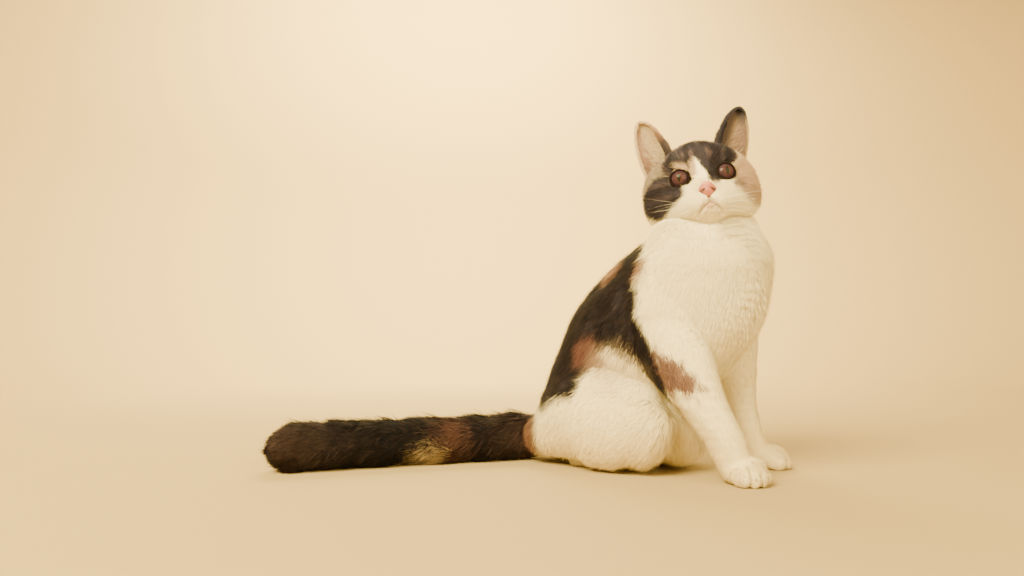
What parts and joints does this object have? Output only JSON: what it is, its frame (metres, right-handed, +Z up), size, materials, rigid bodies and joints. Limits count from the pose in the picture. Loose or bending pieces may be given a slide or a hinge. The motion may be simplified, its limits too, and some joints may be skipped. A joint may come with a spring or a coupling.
{
  "type": "british shorthair cat",
  "caption": "Life-size still model of a sitting british shorthair cat with its head turned to its right and its tail laid out behind on the floor.",
  "frame": {"origin": "on the floor, below the middle of the whole cat's box", "axes": "+Z up, -Y the way the trunk faces, +X the cat's left side"},
  "size_m": [0.303, 0.4642, 0.3763],
  "materials": {
    "coat_white": "short dense white fur, matt and soft",
    "coat_head": "short plush fur, white with grey-brown and cream patches",
    "coat_saddle": "short dense dark grey-brown fur with ginger patches",
    "coat_tail": "thick dark brown fur with faint bands and one ginger band",
    "coat_grey": "short grey-brown fur outside, pink skin with pale hairs inside",
    "coat_cream": "short cream fur outside, pink skin with pale hairs inside",
    "nose_leather": "moist pink nose leather with a fine grain",
    "eye": "wet glossy eye with a copper iris and an oval pupil"
  },
  "bodies": {
    "root": {"head": "coat_head", "neck": "coat_white", "nose": "nose_leather", "ear_left": "coat_grey", "ear_right": "coat_cream", "eye_left": "eye", "eye_right": "eye", "torso_upper": "coat_saddle", "torso_lower": "coat_saddle", "foreleg_left": "coat_white", "foreleg_right": "coat_white", "paw_left": "coat_white", "paw_right": "coat_white", "thigh_left": "coat_white", "thigh_right": "coat_white", "tail_1": "coat_tail", "tail_2": "coat_tail", "tail_3": "coat_tail", "tail_4": "coat_tail"}
  },
  "joints": []
}
